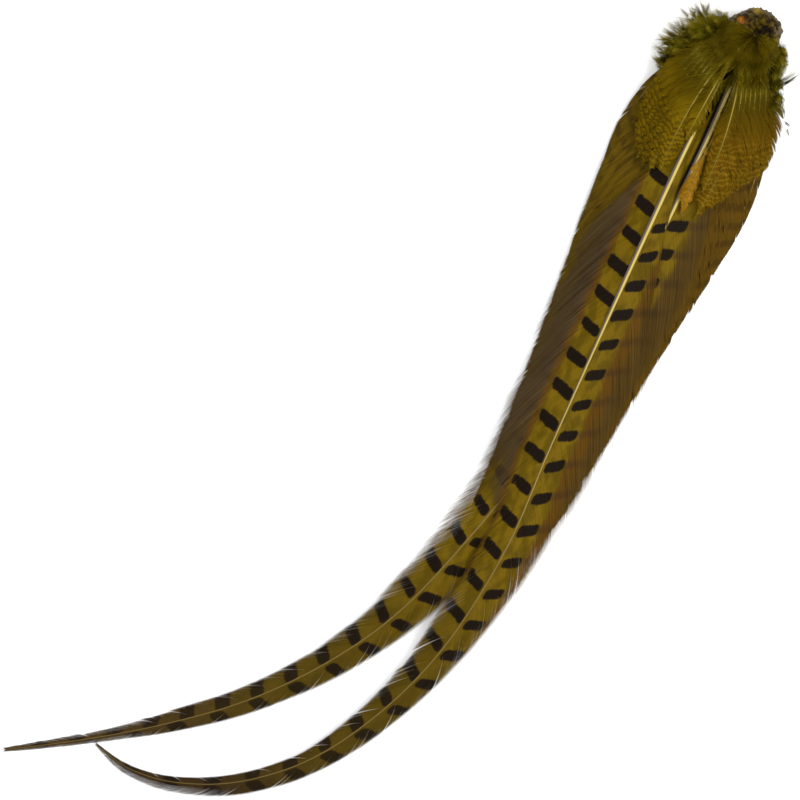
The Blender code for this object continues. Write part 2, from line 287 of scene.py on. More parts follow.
def vane(feather, side, seed, spacing=0.42 * MM, sweep=1.9, steps=8, bunch=12 * MM, pull=0.12,
         sway=0.015, loose=never, ragged=0.03, lift=0.12 * MM, tilt=0.035 * MM, cover=1.05):
    """The barbs on one side of a feather.

    A barb that goes out by w advances by sweep · w · (lean · t + (1 - lean) · t²), where t runs from 0 at the
    shaft to 1 at its tip. The edge of the vane says where each barb ends, and so where it has to start.
    loose(s, t) from 0 to 1 says where barbs are unzipped: there they are thin, uneven and stray."""
    rng = np.random.default_rng(seed)
    half = feather.half[side]
    starts = np.maximum.accumulate(feather.at - sweep * half) + 1e-9 * np.arange(len(half))
    count = int((starts[-1] - starts[0]) / spacing)
    root = np.linspace(starts[0], starts[-1], count + 1)
    reach = feather.read(half, np.interp(root, starts, feather.at)) * (1.04 + 0.8 * ragged)
    stem = feather.read(feather.shaft, root) * 0.6
    t = np.linspace(0, 1, steps + 1)[None]
    s = root[:, None] + sweep * reach[:, None] * (LEAN * t + (1 - LEAN) * t**2)
    out = stem[:, None] + np.maximum(reach - stem, 0)[:, None] * t

    middle_s, half_s = (s[1:] + s[:-1]) / 2, (s[1:] - s[:-1]) / 2
    middle_out, half_out = (out[1:] + out[:-1]) / 2, (out[1:] - out[:-1]) / 2
    root, reach = middle_s[:, :1], (reach[1:] + reach[:-1])[:, None] / 2
    slack = loose(middle_s, t)

    # each bunch is drawn together, swings and rises as one, and ends a little short
    size = bunch * (1 - 0.75 * slack[:, -1])
    group = np.cumsum(rng.random(count) < spacing / size)
    groups = group[-1] + 1
    weight = np.bincount(group, minlength=groups)
    centre = np.bincount(group, root[:, 0], groups) / np.maximum(weight, 1)
    drawn = ((centre[group] - root[:, 0]) * (rng.uniform(0.2, 1.8, groups) * pull)[group])[:, None]
    swing = rng.normal(0, sway, groups)[group][:, None] * reach
    stray = rng.normal(0, 1, (count, 1)) * reach * 0.035
    rise = rng.normal(0, lift, groups)[group][:, None] + rng.normal(0, 0.25 * lift, (count, 1))
    short = 1 - (np.abs(rng.normal(0, ragged, groups))[group] + rng.random(count) * ragged)[:, None]
    short = short - 0.16 * slack[:, -1:] * rng.random((count, 1))

    # the two edges of each ribbon
    grown = 1 - (1 - short) * t
    moved = drawn * (1 + 2.5 * slack) * t**2.2 + (swing + stray * slack) * t**2
    final_s = root + (middle_s - root) * grown + moved
    final_out = middle_out * grown
    width = cover * (1 - 0.8 * smooth((t - 0.86) / 0.14)) * (1 - 0.42 * slack**1.5)
    edges = np.array([-1.0, 1.0])
    s2 = final_s[..., None] + (half_s * width)[..., None] * edges
    out2 = np.maximum(final_out[..., None] + (half_out * width)[..., None] * edges, 0.05 * MM)
    lean_up = (tilt * rng.uniform(0.3, 1.7, (count, 1, 1))) * edges + (rise * t)[..., None]
    points = feather.point(s2, out2, side, lean_up)

    # what the material reads: the place on the undisturbed vane, and the barb's random numbers
    flat_s = middle_s[..., None] + half_s[..., None] * edges
    flat_out = middle_out[..., None] + half_out[..., None] * edges
    place = np.stack(np.broadcast_arrays(flat_s / MM, side * flat_out / MM, root[..., None] / MM), axis=-1)
    tone, group_tone = rng.random(count), rng.random(groups)[group]
    barb = np.stack(np.broadcast_arrays(
        tone[:, None, None], group_tone[:, None, None], slack[..., None] + 0 * edges), axis=-1)

    kept = (reach[:, 0] > stem[1:] + SHORTEST) | (root[:, 0] > 0.8 * feather.length)
    faces = ribbon_faces(kept.sum(), steps, flip=side < 0)
    points, place, barb = (a[kept].reshape(-1, 3) for a in (points, place, barb))
    widest = max(feather.half[1].max(), feather.half[-1].max())
    uv = np.stack([
        np.clip(place[:, 0] * MM / (feather.length + 6 * MM), 0.001, 1),
        0.47 + 0.45 * place[:, 1] * MM / widest,
    ], axis=1)
    return {"points": points, "faces": faces, "place": place, "barb": barb, "uv": uv[faces], "finish": 0}


print("a barb leaves the shaft at", round(math.degrees(math.atan(1 / (1.9 * LEAN)))), "degrees")

# %% [markdown]
# ## Shafts and pieces
#
# A shaft is a tapering tube that follows the same line. A piece joins the vanes and the shaft of one feather
# into one object, with the numbers that its materials read stored at each point.

# %% Shafts and pieces


def shaft(feather, sides=10, step=2 * MM):
    """The quill and shaft: rings that taper from root to tip. A ring's point at an angle goes out by the
    half-width · cos(angle) and up or down by the height on that side · sin(angle). Each end is closed."""
    s = np.linspace(0, feather.length, int(feather.length / step))
    angle = np.linspace(0, 2 * math.pi, sides, endpoint=False)
    wide = feather.read(feather.shaft, s)[:, None] * np.cos(angle)
    level = feather.read((feather.inner[1] + feather.inner[-1]) / 2, s)
    up = np.where(np.sin(angle) > 0, (feather.read(feather.ridge, s) - level)[:, None],
                  (level - feather.read(feather.keel, s))[:, None]) * np.sin(angle)
    centre = np.stack([feather.read(feather.centre[:, k], s) for k in (0, 1)], axis=1)
    left = np.stack([feather.read(feather.sideways[:, k], s) for k in (0, 1)], axis=1)
    points = np.concatenate([
        centre[:, None] + wide[..., None] * left[:, None], (level[:, None] + up)[..., None]], axis=2)
    ring = np.arange(sides)
    rows = np.arange(len(s) - 1)[:, None] * sides
    after = (ring + 1) % sides
    faces = np.stack([rows + ring, rows + after, rows + sides + after, rows + sides + ring], axis=-1)
    faces = faces.reshape(-1, 4)
    end = np.array([(0, k, k + 1, k + 2) for k in range(1, sides - 2, 2)])
    first, last = end[:, ::-1], end + (len(s) - 1) * sides
    place = np.stack(np.broadcast_arrays(
        s[:, None] / MM, wide / MM, np.cos(angle)[None] + 0 * wide), axis=-1).reshape(-1, 3)
    u = np.clip(s / feather.length, 0.001, 0.999)
    strip_u = np.stack([u[:-1], u[:-1], u[1:], u[1:]], axis=-1)[:, None] + 0 * ring[None, :, None]
    v = 0.945 + 0.05 * np.stack([ring, ring + 1, ring + 1, ring], axis=-1)[None] / sides + 0 * strip_u
    uv = np.stack([strip_u, v], axis=-1).reshape(-1, 4, 2)
    end_uv = np.full((len(first), 4, 2), 0.997)
    return {
        "points": points.reshape(-1, 3), "faces": np.concatenate([faces, first, last]), "place": place,
        "barb": np.zeros_like(place), "uv": np.concatenate([uv, end_uv, end_uv]), "finish": 1,
    }


def piece(name, parts, finishes, slot, *nodes):
    """One object from several sets of points and faces; slot is not used. It rides on the tail."""
    first = np.cumsum([0] + [len(p["points"]) for p in parts])
    points, place, barb = (np.concatenate([p[key] for p in parts]) for key in ("points", "place", "barb"))
    faces = np.concatenate([p["faces"] + start for p, start in zip(parts, first)])
    mesh = bpy.data.meshes.new(name)
    mesh.vertices.add(len(points))
    mesh.vertices.foreach_set("co", points.astype(np.float32).ravel())
    mesh.loops.add(faces.size)
    mesh.loops.foreach_set("vertex_index", faces.astype(np.int32).ravel())
    mesh.polygons.add(len(faces))
    mesh.polygons.foreach_set("loop_start", np.arange(0, faces.size, 4, dtype=np.int32))
    material = np.concatenate([np.full(len(p["faces"]), p["finish"]) for p in parts])
    mesh.polygons.foreach_set("material_index", material.astype(np.int32))
    mesh.update(calc_edges=True)
    mesh.uv_layers.new(name="laid_flat").data.foreach_set(
        "uv", np.concatenate([p["uv"] for p in parts]).astype(np.float32).ravel())
    for key, values in (("vane_place", place), ("barb", barb)):
        mesh.attributes.new(key, "FLOAT_VECTOR", "POINT").data.foreach_set(
            "vector", values.astype(np.float32).ravel())
    for finish in finishes:
        mesh.materials.append(finish)
    mesh.shade_smooth()
    obj = bpy.data.objects.new(name, mesh)
    bpy.context.scene.collection.objects.link(obj)
    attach(obj, "root")
    if nodes:
        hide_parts(*nodes)
    return obj


# %% [markdown]
# ## Shader maths as plain expressions
#
# A material's pattern is arithmetic on a few numbers: how far along the feather, how far out from the shaft,
# and which barb. Node by node that is hard to read. This small class wraps a socket, so that an expression
# such as 1 - mask adds the node itself.

# %% Writing materials


class Term:
    """A socket that takes part in Python expressions, each of which adds a Math node."""

    def __init__(self, finish, socket):
        self.finish, self.socket = finish, socket

    def math(self, operation, *values):
        """The socket of a new Math node that has these values."""
        return self.finish.node("ShaderNodeMath", {"operation": operation}, dict(enumerate(values)))

    def __add__(self, other): return self.math("ADD", self, other)
    def __sub__(self, other): return self.math("SUBTRACT", self, other)
    def __mul__(self, other): return self.math("MULTIPLY", self, other)
    def __truediv__(self, other): return self.math("DIVIDE", self, other)
    def __rsub__(self, other): return self.math("SUBTRACT", other, self)
    def __rtruediv__(self, other): return self.math("DIVIDE", other, self)
    def __pow__(self, other): return self.math("POWER", self, other)
    def __abs__(self): return self.math("ABSOLUTE", self)
    __radd__ = __add__
    __rmul__ = __mul__

    def least(self, other): return self.math("MINIMUM", self, other)
    def most(self, other): return self.math("MAXIMUM", self, other)
    def over(self, other): return self.math("GREATER_THAN", self, other)
    def whole(self): return self.math("ROUND", self)
    def sine(self): return self.math("SINE", self)

    def ramp(self, low, high):
        """0 below low, 1 above high, and a smooth rise between. A low above high turns it round."""
        return self.finish.node("ShaderNodeMapRange", {"interpolation_type": "SMOOTHSTEP"},
                                {0: self, 1: low, 2: high, 3: 0.0, 4: 1.0})

    def choose(self, off, on):
        """off where this is 0, on where it is 1, and a mixture between."""
        if isinstance(on, Term) or isinstance(off, Term):
            return off + (on - off) * self
        return self * (on - off) + off


class Finish:
    """One material: a Principled BSDF and the nodes that feed it."""

    def __init__(self, name, roughness=0.55, specular=0.35):
        self.material = bpy.data.materials.new(name)
        self.material.use_nodes = True
        self.tree = self.material.node_tree
        self.shader = self.tree.nodes["Principled BSDF"]
        self.shader.inputs["Roughness"].default_value = roughness
        self.shader.inputs["Specular IOR Level"].default_value = specular

    def node(self, kind, settings=None, values=None, output=0):
        """Adds a node: its settings first, then the values or links of its sockets. Gives one output."""
        made = self.tree.nodes.new(kind)
        for key, value in (settings or {}).items():
            setattr(made, key, value)
        for key, value in (values or {}).items():
            if isinstance(value, Term):
                self.tree.links.new(value.socket, made.inputs[key])
            else:
                made.inputs[key].default_value = value
        return Term(self, made.outputs[output])

    def parts(self, attribute):
        """The three numbers of a vector attribute."""
        vector = self.node("ShaderNodeAttribute", {"attribute_name": attribute}, output="Vector")
        return [self.node("ShaderNodeSeparateXYZ", None, {0: vector}, k) for k in range(3)]

    def colour(self, low, high, share):
        """A colour this share of the way from low to high."""
        low, high = ((*c, 1) if isinstance(c, tuple) else c for c in (low, high))
        return self.node("ShaderNodeMix", {"data_type": "RGBA"}, {0: share, 6: low, 7: high}, 2)

    def noise(self, x, y, detail=2.0):
        """Soft noise about 0.5 on two numbers."""
        at = self.node("ShaderNodeCombineXYZ", None, {0: x, 1: y})
        return self.node("ShaderNodeTexNoise", {"noise_dimensions": "2D"},
                         {"Vector": at, "Scale": 1.0, "Detail": detail})

    def random(self, number):
        """A random number from 0 to 1 for each whole number."""
        return self.node("ShaderNodeTexWhiteNoise", {"noise_dimensions": "1D"}, {"W": number})

    def paint(self, colour, roughness=None, height=None, depth=0.0001):
        """Links a colour and, if given, a roughness and a bump height to the shader. Gives the material."""
        self.tree.links.new(colour.socket, self.shader.inputs["Base Color"])
        if roughness is not None:
            self.tree.links.new(roughness.socket, self.shader.inputs["Roughness"])
        if height is not None:
            bump = self.node("ShaderNodeBump", None, {"Distance": depth, "Height": height})
            self.tree.links.new(bump.socket, self.shader.inputs["Normal"])
        return self.material


def dye(red, green, blue):
    """A colour given as on a paint chart, 0 to 255, turned into amounts of light."""
    share = np.array([red, green, blue]) / 255
    return tuple(float(x) for x in np.where(share <= 0.04045, share / 12.92, ((share + 0.055) / 1.055) ** 2.4))


# %% [markdown]
# ## The finish of the two long feathers
#
# A long feather is olive with black-brown bars. The bars of each side are blunt boxes that start a little way
# out from the shaft. They lean back towards the root as they go out, so a pair makes an arrowhead that points
# to the tip. Outside the boxes the bars go on as faint purple stains. The spacing grows slowly from root to
# tip, so the count of bars up to a place is a quadratic in its distance from the root.
#
# A bar is grown barb by barb, so each barb shifts the pattern by its own small amount. That alone gives the
# bars their frayed edges.

# %% Bars on the long feathers
OLIVE, YELLOW_OLIVE, BAR = dye(80, 63, 2), dye(99, 78, 6), dye(20, 13, 6)
STAIN, GREY_BAND, RUST, BROWN = dye(54, 36, 18), dye(66, 52, 32), dye(80, 54, 8), dye(70, 52, 16)


def barred(f, s, lateral, right, tone, counts, leans, begin, corner=1.8):
    """Two numbers from 0 to 1: the blunt bars, and the faint stains that carry them outwards. counts holds,
    for the tail's left and right, the numbers a, b, c of a + b·s + c·s², which is whole at each bar. begin
    says how far from the root each side's bars begin."""
    stray = (f.noise(s * 0.12, lateral * 0.2) - 0.5) * 1.2 + (tone - 0.5) * 0.5
    along = s + lateral * right.choose(*leans) + stray
    a, b, c = (right.choose(low, high) for low, high in zip(*counts))
    count = a + along * (b + along * c)
    number = count.whole()
    off = abs(count - number) / (b + along * c * 2)
    luck = f.random(number + right * 40)
    late = s.ramp(290, 420)  # towards the tip the bars grow thicker and fainter
    middle, reach = right.choose(5.8, 5.5), right.choose(4.8, 3.7)
    box_x = off - (luck * 0.4 + 2.65 + late * 1.0 - corner)
    box_y = abs(lateral - middle) - (luck * 0.7 + reach + late - corner)
    outside = (box_x.most(0) ** 2 + box_y.most(0) ** 2) ** 0.5 + box_x.most(box_y).least(0) - corner
    first = right.choose(*begin)
    bar = outside.ramp(0.4, -0.4) * (s - first).ramp(-3, 3)
    stain = off.ramp(3.6, 0.4) * lateral.ramp(8, 11) * lateral.ramp(24, 14)
    return bar * (1 - late * 0.2), stain


def streaks(f, root, lateral, seed, wide):
    """Soft streaks, each as wide as this many millimetres of barbs, that run out along the barbs."""
    return f.noise(root / wide + seed, lateral * 0.04)


def long_feather(name, counts, leans, begin, left_zones, right_zones, end, gap_shadow=0.0):
    """A long feather's vane. Each zone is (where it starts, where it is full, its colour), going outwards. end
    is the colour of the tip, and gap_shadow says how dark the painted shadow beside the quill near the root is."""
    f = Finish(name, roughness=0.6, specular=0.04)
    s, d, root = f.parts("vane_place")
    tone, _, slack = f.parts("barb")
    right, lateral = d.over(0), abs(d)
    bar, stain = barred(f, s, lateral, right, tone, counts, leans, begin)
    patchy = f.noise(s * 0.09, d * 0.2, 3.0)
    ground = f.colour(OLIVE, YELLOW_OLIVE, patchy.ramp(0.36, 0.64))
    ground = f.colour(ground, dye(62, 49, 8), s.ramp(240, 350) * 0.75)
    edge_stray = (f.noise(s * 0.1, d * 0.1) - 0.5) * 3 + (tone - 0.5) * 1.2
    for sign, zones in ((1 - right, left_zones), (right, right_zones)):
        for start, full, colour in zones:
            ground = f.colour(ground, colour, (lateral + edge_stray).ramp(start, full) * sign)
    ground = f.colour(ground, STAIN, stain * right.choose(0.35, 0.6))
    ground = f.colour(ground, dye(80, 56, 26), slack.ramp(0.3, 0.9) * 0.7)
    ground = f.colour(ground, end, s.ramp(350, 440) * 0.85)
    # painted shadow: a dark strip beside the quill near the root, where a deep gap lies in shade
    painted_gap_shadow = s.ramp(72, 58) * lateral.ramp(3.2, 2) * (1 - right) * gap_shadow
    ground = f.colour(ground, dye(10, 7, 2), painted_gap_shadow)
    ground = f.colour(ground, BAR, bar)
    outwards = lateral.ramp(9, 15) * 0.8 + 0.2
    dark = streaks(f, root, lateral, 0, 0.9).ramp(0.52, 0.28) * 0.6 + (tone - 0.5) * 0.3
    pale = streaks(f, root, lateral, 300, 1.3).ramp(0.55, 0.8) * outwards * (1 - bar)
    ground = f.colour(ground, f.colour(dye(106, 84, 46), dye(98, 74, 18), right), pale * 0.4)
    return f.paint(f.colour(ground, dye(26, 18, 8), dark.most(0) * outwards), tone * 0.15 + 0.5)


# %% [markdown]
# ## The finish of the shafts
#
# A quill is clear horn. Its colour holds painted light and shade: cream on the side taken as lit, grey on the
# side turned away. Towards the tip it thins to a dark thread.

# %% Shafts


def horn(name, cream, grey, fade, painted_side_shade=1.0):
    """Painted light and shade: cream on the tail's right, grey on its left, fading to olive beyond fade mm."""
    f = Finish(name, roughness=0.4, specular=0.3)
    s, _, turn = f.parts("vane_place")
    grain = f.noise(s * 0.08, turn * 6)
    # painted light and shade: one side of the shaft cream as if lit, the other grey as if shaded
    lit = f.colour(grey, cream, (turn + (grain - 0.5) * 0.3).ramp(-0.25, 0.15) * painted_side_shade + (1 - painted_side_shade))
    return f.paint(f.colour(lit, dye(92, 72, 14), s.ramp(fade * 0.4, fade) * 0.9), grain * 0.2 + 0.33)


CENTRAL_HORN = horn("horn_long", dye(172, 152, 76), dye(84, 72, 58), 270)
SIDE_HORN = horn("horn_side", dye(108, 90, 28), dye(80, 64, 24), 140, 0.6)
COVERT_HORN = horn("horn_covert", dye(134, 118, 36), dye(96, 82, 18), 54, 0.5)

# %% [markdown]
# ## The two long feathers
#
# The right one lies on the left one and shows almost whole. On its left, beyond the bars, the barbs are grey
# and unzipped, with no hooks to hold them. The left feather frays where it comes out from under the right.

# %% The two long feathers


def loose_band(start, full, most):
    """Let go by this much beyond a share of the way out."""
    def loose(s, t):
        return most * smooth((t - start) / (full - start)) * smooth((300 * MM - s) / (60 * MM))
    return loose


def split_tip(s, t):
    """Let go towards the very tip."""
    return 0.72 * smooth((s - 415 * MM) / (30 * MM)) * smooth(t / 0.6)


def fringe(first, last):
    """Let go at the vane's edge between two distances from the root, and towards the very tip."""
    def loose(s, t):
        edge = smooth((s - first) / (15 * MM)) * smooth((last - s) / (20 * MM)) * smooth((t - 0.66) / 0.25)
        return np.maximum(0.9 * edge, split_tip(s, t))
    return loose


right_long, left_long = feathers["central_feather_right"], feathers["central_feather_left"]
right_vanes = long_feather(
    "vane_long_right", ((-5.30, 0.06987, -2.03e-5), (-6.08, 0.07314, -2.40e-5)), (0.25, 0.55), (54, 76),
    ((10.5, 12, dye(82, 56, 12)), (12.5, 15, GREY_BAND)), ((9, 11.5, RUST), (14, 18, BROWN)), dye(44, 31, 18))
# the 1.0 at the end puts painted shadow beside this feather's quill
left_vanes = long_feather(
    "vane_long_left", ((-13.163, 0.0606, -4.0e-6), (-15.66, 0.0728, -2.68e-5)), (0.2, 0.42), (80, 70),
    ((12, 15, BROWN),), ((10.5, 14, BROWN),), dye(58, 43, 22), 1.0)
piece("central_feather_right_plumage", [
    vane(right_long, 1, 11, sway=0.006, pull=0.03, ragged=0.02, loose=split_tip),
    vane(right_long, -1, 12, pull=0.06, loose=loose_band(0.45, 0.6, 0.3), ragged=0.04),
    shaft(right_long),
], [right_vanes, CENTRAL_HORN], "tail_vane", "central_feather_right")
piece("central_feather_left_plumage", [
    vane(left_long, 1, 13, sway=0.006, pull=0.03, ragged=0.02, loose=split_tip),
    vane(left_long, -1, 14, sway=0.006, pull=0.04, loose=fringe(214 * MM, 290 * MM), ragged=0.04),
    shaft(left_long),
], [left_vanes, CENTRAL_HORN], "tail_vane", "central_feather_left")

# %% [markdown]
# ## The side feathers
#
# Eight a side, shorter and shorter outwards. The vane on the outer side of each shaft is narrow and olive,
# and the inner one is broad and purple brown, with dark spots along the shaft.

# %% Side feathers
SPOT_PITCH = 9.5  # mm from one dark spot to the next


def side_finish(name, outer_sign, outer, inner, spot):
    """outer_sign says on which side of the shaft the narrow outer vane is."""
    f = Finish(name, roughness=0.6, specular=0.03)
    s, d, root = f.parts("vane_place")
    tone, _, _ = f.parts("barb")
    side = (d * outer_sign).over(0)
    lateral = abs(d)
    patchy = f.noise(s * 0.06, d * 0.15, 3.0)
    ground = f.colour(f.colour(inner, outer, side), BROWN, patchy.ramp(0.35, 0.8) * 0.6)
    ground = f.colour(ground, outer, side * 0.6)
    count = (s + lateral * 0.4 + (tone - 0.5) * 1.0 + (patchy - 0.5) * 3) / SPOT_PITCH
    off = abs(count - count.whole()) * SPOT_PITCH
    spots = off.ramp(2.6, 1.2) * lateral.ramp(6.5, 4.5) * lateral.ramp(0.3, 1.0) * (1 - side * 0.5)
    ground = f.colour(ground, spot, spots * 0.8)
    pale = streaks(f, root, lateral, 300, 1.4).ramp(0.52, 0.8) * 0.4
    ground = f.colour(ground, dye(96, 74, 24), pale)
    dark = streaks(f, root, lateral, 0, 1.0).ramp(0.55, 0.25) * 0.5 + (tone - 0.5) * 0.25
    return f.paint(f.colour(ground, dye(28, 19, 8), dark.most(0)), tone * 0.15 + 0.5)


side_finishes = {
    "left": side_finish("vane_side_left", -1, dye(88, 68, 6), dye(70, 50, 24), BAR),
    "right": side_finish("vane_side_right", 1, dye(82, 58, 4), dye(72, 51, 9), BAR),
}
for name, feather in feathers.items():
    if name.startswith("tail_feather"):
        side, seed = name.split("_")[2], 100 + 10 * int(name[-1]) + 2 * ("right" in name)
        piece(name + "_plumage", [
            vane(feather, 1, seed, spacing=0.5 * MM, steps=7, ragged=0.06, sweep=1.8),
            vane(feather, -1, seed + 1, spacing=0.5 * MM, steps=7, ragged=0.06, sweep=1.8),
            shaft(feather, step=3 * MM),
        ], [side_finishes[side], SIDE_HORN], "side_vane", name)

# %% [markdown]
# ## The coverts
#
# Short soft feathers that cover the roots. Their lower halves are crossed by fine wavy lines: dark on olive
# on the tail's left, and pale on brown on its right. Near the root a covert is all down, so there the barbs
# are let go completely.

# %% Coverts


def covert_finish(name, ground_low, ground_high, line, pitch, thin, strength):
    """Wavy lines this many millimetres apart; thin is the share of that which a line fills."""
    f = Finish(name, roughness=0.65, specular=0.015)
    s, d, root = f.parts("vane_place")
    tone, _, _ = f.parts("barb")
    lateral = abs(d)
    patchy = f.noise(s * 0.12, d * 0.2, 3.0)
    ground = f.colour(ground_low, ground_high, patchy.ramp(0.3, 0.7))
    ground = f.colour(ground, dye(66, 56, 2), s.ramp(36, 16) * 0.8)
    wavy = (f.noise(s * 0.16, d * 0.3) - 0.5) * 4.5
    count = (s + lateral * 0.3 + wavy + (tone - 0.5) * 0.4) / pitch
    off = abs(count - count.whole()) * 2
    lines = off.ramp(thin + 0.2, thin - 0.2) * s.ramp(26, 42) * strength
    ground = f.colour(ground, line, lines)
    ground = f.colour(ground, dye(104, 90, 16), lateral.ramp(1.2, 0.2) * 0.25)
    dark = streaks(f, root, lateral, 0, 0.8).ramp(0.55, 0.25) * 0.4 + tone * 0.15
    return f.paint(f.colour(ground, dye(28, 21, 2), dark), tone * 0.15 + 0.55)


covert_finishes = {
    "left": covert_finish(
        "vane_covert_left", dye(96, 75, 2), dye(108, 86, 4), dye(56, 39, 4), 2.5, 0.4, 0.7),
    "right": covert_finish(
        "vane_covert_right", dye(82, 58, 2), dye(92, 67, 3), dye(118, 92, 18), 2.8, 0.3, 0.72),
    "middle": covert_finish(
        "vane_covert_worn", dye(128, 88, 10), dye(150, 108, 26), dye(84, 60, 8), 3.4, 0.3, 0.3),
}


def downy_root(s, t):
    """All down near the root, and a little loose at the edge everywhere."""
    return smooth((34 * MM - s) / (20 * MM)) * smooth(t / 0.4) + 0.12 * smooth((t - 0.6) / 0.4)


for name, feather in feathers.items():
    if name.startswith("covert"):
        side, seed = name.split("_")[1], 400 + 2 * len(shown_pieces())
        piece(name + "_plumage", [
            vane(feather, way, seed + (way > 0), spacing=0.3 * MM, steps=7, sweep=1.25, bunch=5 * MM, pull=0.3,
                 sway=0.05, ragged=0.07, loose=downy_root, lift=0.2 * MM)
            for way in (1, -1)
        ] + [shaft(feather)], [covert_finishes[side], COVERT_HORN],
            "worn_vane" if side == "middle" else "covert_vane", name)

# %% [markdown]
# ## The height of what lies below
#
# Hair and down lie on the feathers, so their heights are read from the solids: rays are dropped on a grid of
# points near the root, and the heights between the points are worked out from the four around.

# %% The top of the pile
GRID = 1.0 * MM
GRID_LOW = np.array([-22, -36]) * MM


def height_map(columns=90, rows=84):
    """The highest solid under each point of a grid, in metres."""
    corners, faces = [], []
    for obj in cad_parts.values():
        start = len(corners)
        corners += [v.co for v in obj.data.vertices]
        faces += [[start + i for i in p.vertices] for p in obj.data.polygons]
    tree = BVHTree.FromPolygons(corners, faces)
    top = cad_high.z + 10 * MM
    found = np.zeros((columns, rows))
    for i in range(columns):
        for j in range(rows):
            above = Vector((GRID_LOW[0] + i * GRID, GRID_LOW[1] + j * GRID, top))
            hit = tree.ray_cast(above, Vector((0, 0, -1)))[0]
            found[i, j] = hit.z if hit is not None else 0
    return found


tops = height_map()


def top_at(x, y):
    """The height of the pile at any points, by the four grid heights around each."""
    u = np.clip((x - GRID_LOW[0]) / GRID, 0, tops.shape[0] - 1.001)
    v = np.clip((y - GRID_LOW[1]) / GRID, 0, tops.shape[1] - 1.001)
    i, j = u.astype(int), v.astype(int)
    u, v = u - i, v - j
    return mix(mix(tops[i, j], tops[i + 1, j], u), mix(tops[i, j + 1], tops[i + 1, j + 1], u), v)


print("top of the pile near the root:", round(1000 * tops.max(), 1), "mm")

# %% [markdown]
# ## Down and hair
#
# Dyed down clings together in small soft points. Each hair here starts somewhere around the base of its
# point, and closes up with the others towards the tip.

# %% Strands


def strands(paths, widths, tone, group_tone):
    """Thin ribbons along many paths at once. Each is laid flat: its width runs level, across its path."""
    count, steps = paths.shape[:2]
    along = np.gradient(paths, axis=1)
    across = np.stack([-along[..., 1], along[..., 0], 0 * along[..., 0]], axis=-1)
    across /= np.maximum(np.linalg.norm(across, axis=-1, keepdims=True), 1e-9)
    edges = np.array([-0.5, 0.5])
    points = paths[:, :, None] + across[:, :, None] * (widths[..., None] * edges)[..., None]
    t = np.linspace(0, 1, steps)[None, :, None]
    barb = np.stack(np.broadcast_arrays(
        tone[:, None, None], group_tone[:, None, None], t + 0 * tone[:, None, None] + 0 * edges), axis=-1)
    cells = math.ceil(math.sqrt(count))
    index = np.arange(count)[:, None, None]
    u = (index % cells + 0.5 + 0.8 * edges + 0 * t) / cells
    v = (index // cells + 0.05 + 0.9 * t + 0 * edges) / cells
    uv = np.stack([u, v], axis=-1).reshape(-1, 2)
    faces = ribbon_faces(count, steps - 1, flip=True)
    barb = barb.reshape(-1, 3)
    return {"points": points.reshape(-1, 3), "faces": faces, "place": barb, "barb": barb, "uv": uv[faces],
            "finish": 0}


def wisps(bases, headings, lengths, seed, hairs=44, spread=1.1 * MM, rise=0.35, width=0.12 * MM,
          close=0.75):
    """Points of down. The hairs of one start around its base, run along its heading (degrees from +X) with one
    common bend, and close up towards its tip: at a share t of the way, a hair keeps 1 - close · t^1.2 of its
    distance from the middle, and is lift · length · (t - 0.7 t²) above the base."""
    rng = np.random.default_rng(seed)
    count, steps = len(bases), 7
    t = np.linspace(0, 1, steps)
    heading = np.radians(headings)[:, None, None]
    bend = rng.normal(0, 0.55, (count, 1, 1)) + rng.normal(0, 0.24, (count, hairs, 1))
    turn = heading + bend * t
    length = lengths[:, None, None] * rng.uniform(0.45, 1.0, (count, hairs, 1))
    stride = length * np.where(t > 0, 1 / (steps - 1), 0)
    open_ = 1 - close * t**1.2
    offset = rng.normal(0, 1, (count, hairs, 2, 1)) * spread
    x = bases[:, 0, None, None] + offset[:, :, 0] * open_ + np.cumsum(np.cos(turn) * stride, axis=-1)
    y = bases[:, 1, None, None] + offset[:, :, 1] * open_ + np.cumsum(np.sin(turn) * stride, axis=-1)
    lift = rise * rng.uniform(0.2, 1.6, (count, 1, 1)) + rng.normal(0, 0.12, (count, hairs, 1))
    z = np.maximum(bases[:, 2, None, None] + lift * length * (t - 0.7 * t**2), 0.3 * MM)
    paths = np.stack([x, y, z], axis=-1).reshape(-1, steps, 3)
    widths = np.broadcast_to(width * (1 - 0.75 * t**2), paths.shape[:2])
    tone = rng.random(len(paths))
    return [strands(paths, widths, tone, np.repeat(rng.random(count), hairs))]


def fluff(name, root, middle, tip):
    """Dark at the root of each barb and bright at its tip."""
    f = Finish(name, roughness=0.8, specular=0.01)
    tone, group_tone, t = f.parts("barb")
    ground = f.colour(root, middle, (t + (group_tone - 0.5) * 0.9).ramp(0, 0.6))
    ground = f.colour(ground, tip, (t + (tone - 0.5) * 0.5 + (group_tone - 0.5) * 0.4).ramp(0.5, 1.1) * 0.95)
    ground = f.colour(ground, dye(22, 17, 1), group_tone.ramp(0.45, 0.0) * 0.55)
    return f.paint(f.colour(ground, dye(20, 15, 1), tone * 0.6), tone * 0.2 + 0.65)


DOWN = fluff("down_dyed", dye(38, 33, 1), dye(78, 70, 2), dye(166, 150, 42))
RUMP = fluff("rump_hair", dye(36, 28, 1), dye(74, 61, 2), dye(134, 118, 26))
# the same down nearly black: painted shade for down deep in the gaps between the quills
DOWN_IN_SHADE = fluff("down_under", dye(12, 9, 1), dye(26, 21, 2), dye(40, 33, 4))

# %% [markdown]
# ## The two tufts of down
#
# At each side of the skin the down stands out past the feathers in bright points.

# %% Tufts of down
rng = np.random.default_rng(5)


def scatter(points, count, spread, seed):
    """Random places along a row of points, each moved a little, and how far along the row each is."""
    rng = np.random.default_rng(seed)
    points = np.array(points, float) * MM
    at = rng.uniform(0, len(points) - 1, count)
    base = np.stack([np.interp(at, np.arange(len(points)), points[:, k]) for k in range(3)], axis=1)
    return base + rng.normal(0, 1, (count, 3)) * np.array(spread) * MM, at / (len(points) - 1)


